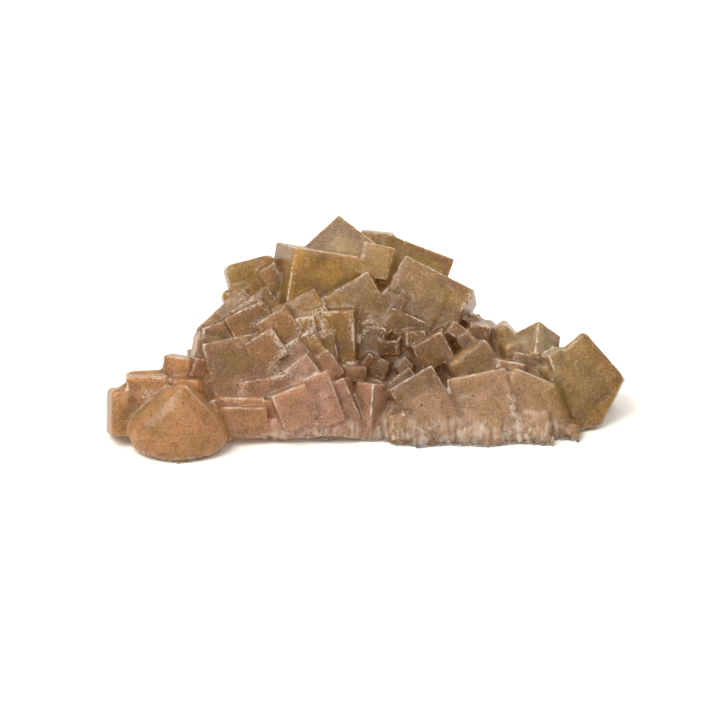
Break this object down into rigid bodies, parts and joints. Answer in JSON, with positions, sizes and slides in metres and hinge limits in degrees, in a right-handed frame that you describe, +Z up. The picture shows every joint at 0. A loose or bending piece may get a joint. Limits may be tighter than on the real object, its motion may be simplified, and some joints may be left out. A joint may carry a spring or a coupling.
{
  "type": "fluorite specimen",
  "caption": "Mineral specimen: intergrown, translucent honey-brown fluorite cubes piled to an off-centre summit on a flat, broken base.",
  "frame": {"origin": "middle of the bounding box's underside, on the plane that the broken base rests on", "axes": "+X along the specimen's length, towards the end with the smooth olive cube; +Y to the back, away from the show side; +Z up"},
  "size_m": [0.1056, 0.0618, 0.0321],
  "materials": {
    "fluorite": "frosted translucent crystal, honey brown, with whitish worn edges and fine dark specks"
  },
  "bodies": {
    "root": {"fluorite_cluster": "fluorite"}
  },
  "joints": []
}
